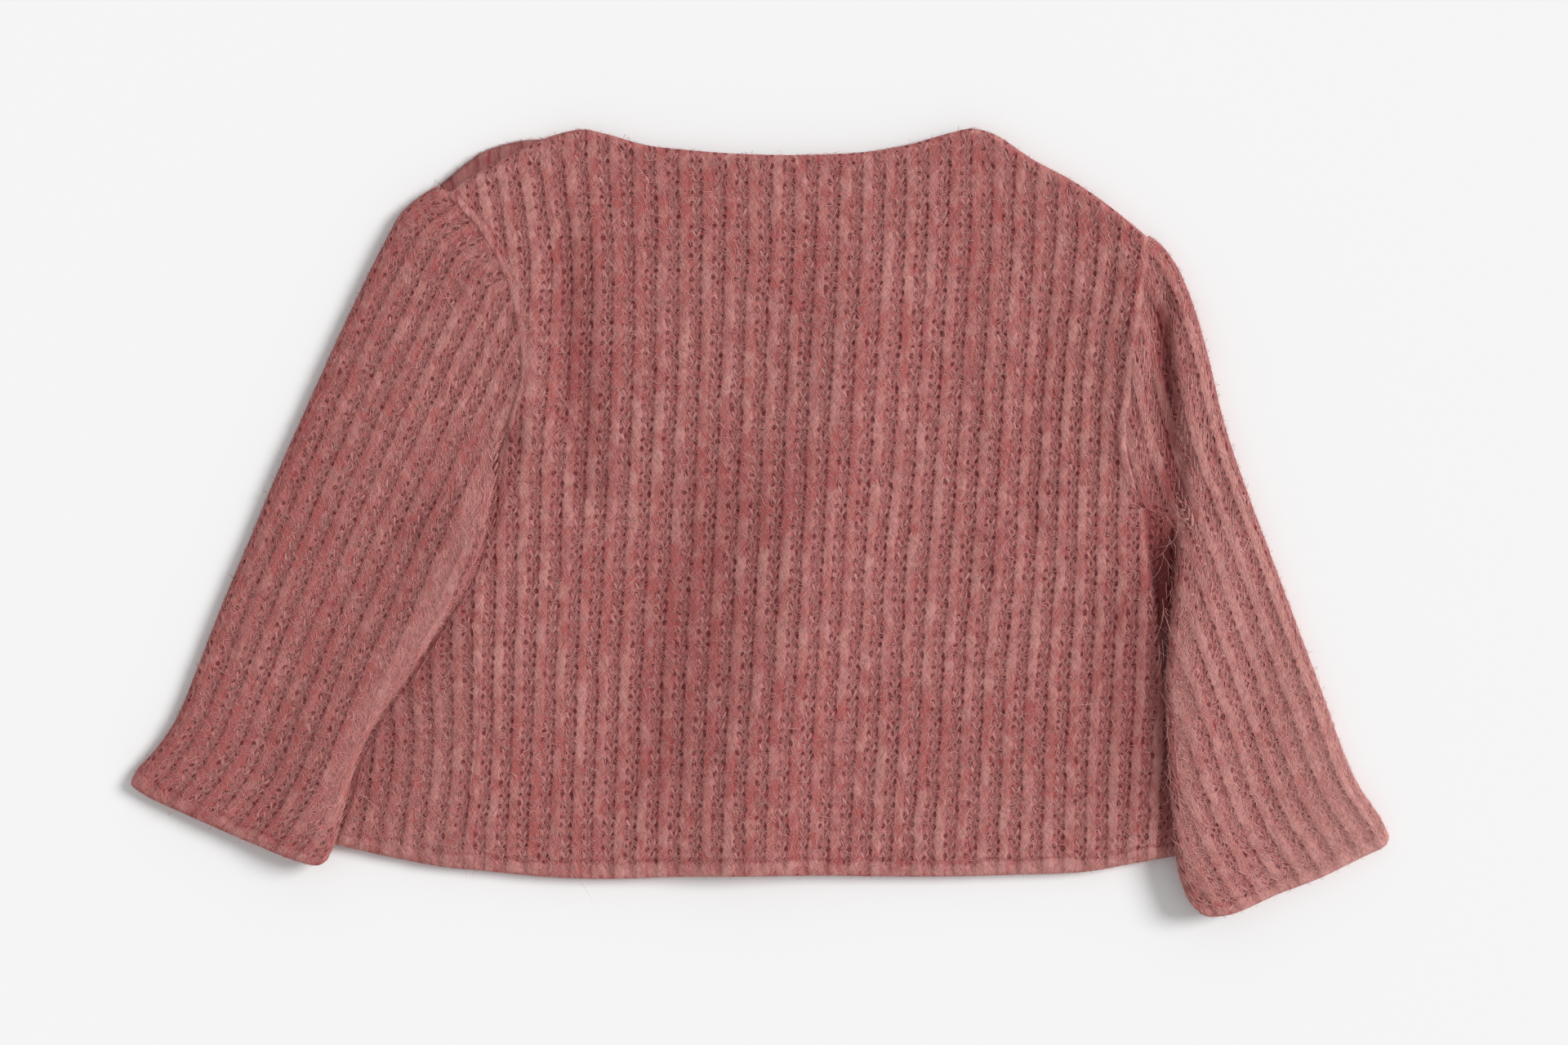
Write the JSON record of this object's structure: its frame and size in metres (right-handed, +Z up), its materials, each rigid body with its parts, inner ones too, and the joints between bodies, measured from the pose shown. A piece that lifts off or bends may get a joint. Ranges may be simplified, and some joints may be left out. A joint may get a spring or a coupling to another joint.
{
  "type": "cardigan",
  "caption": "Baby's rib-knit cardigan with long set-in sleeves and a wide neck, laid flat with its back up and its overlapping fronts below.",
  "frame": {"origin": "middle of the laid-out garment's box, on the surface that it lies on", "axes": "+X across the garment from one sleeve to the other, +Y from hem to neck, +Z up, out of the back"},
  "size_m": [0.4004, 0.2499, 0.0125],
  "materials": {
    "rib_knit": "brushed fuzzy rib knit in dusty rose"
  },
  "bodies": {
    "root": {"back": "rib_knit", "front_left": "rib_knit", "front_right": "rib_knit", "sleeve_left": "rib_knit", "sleeve_right": "rib_knit"}
  },
  "joints": []
}
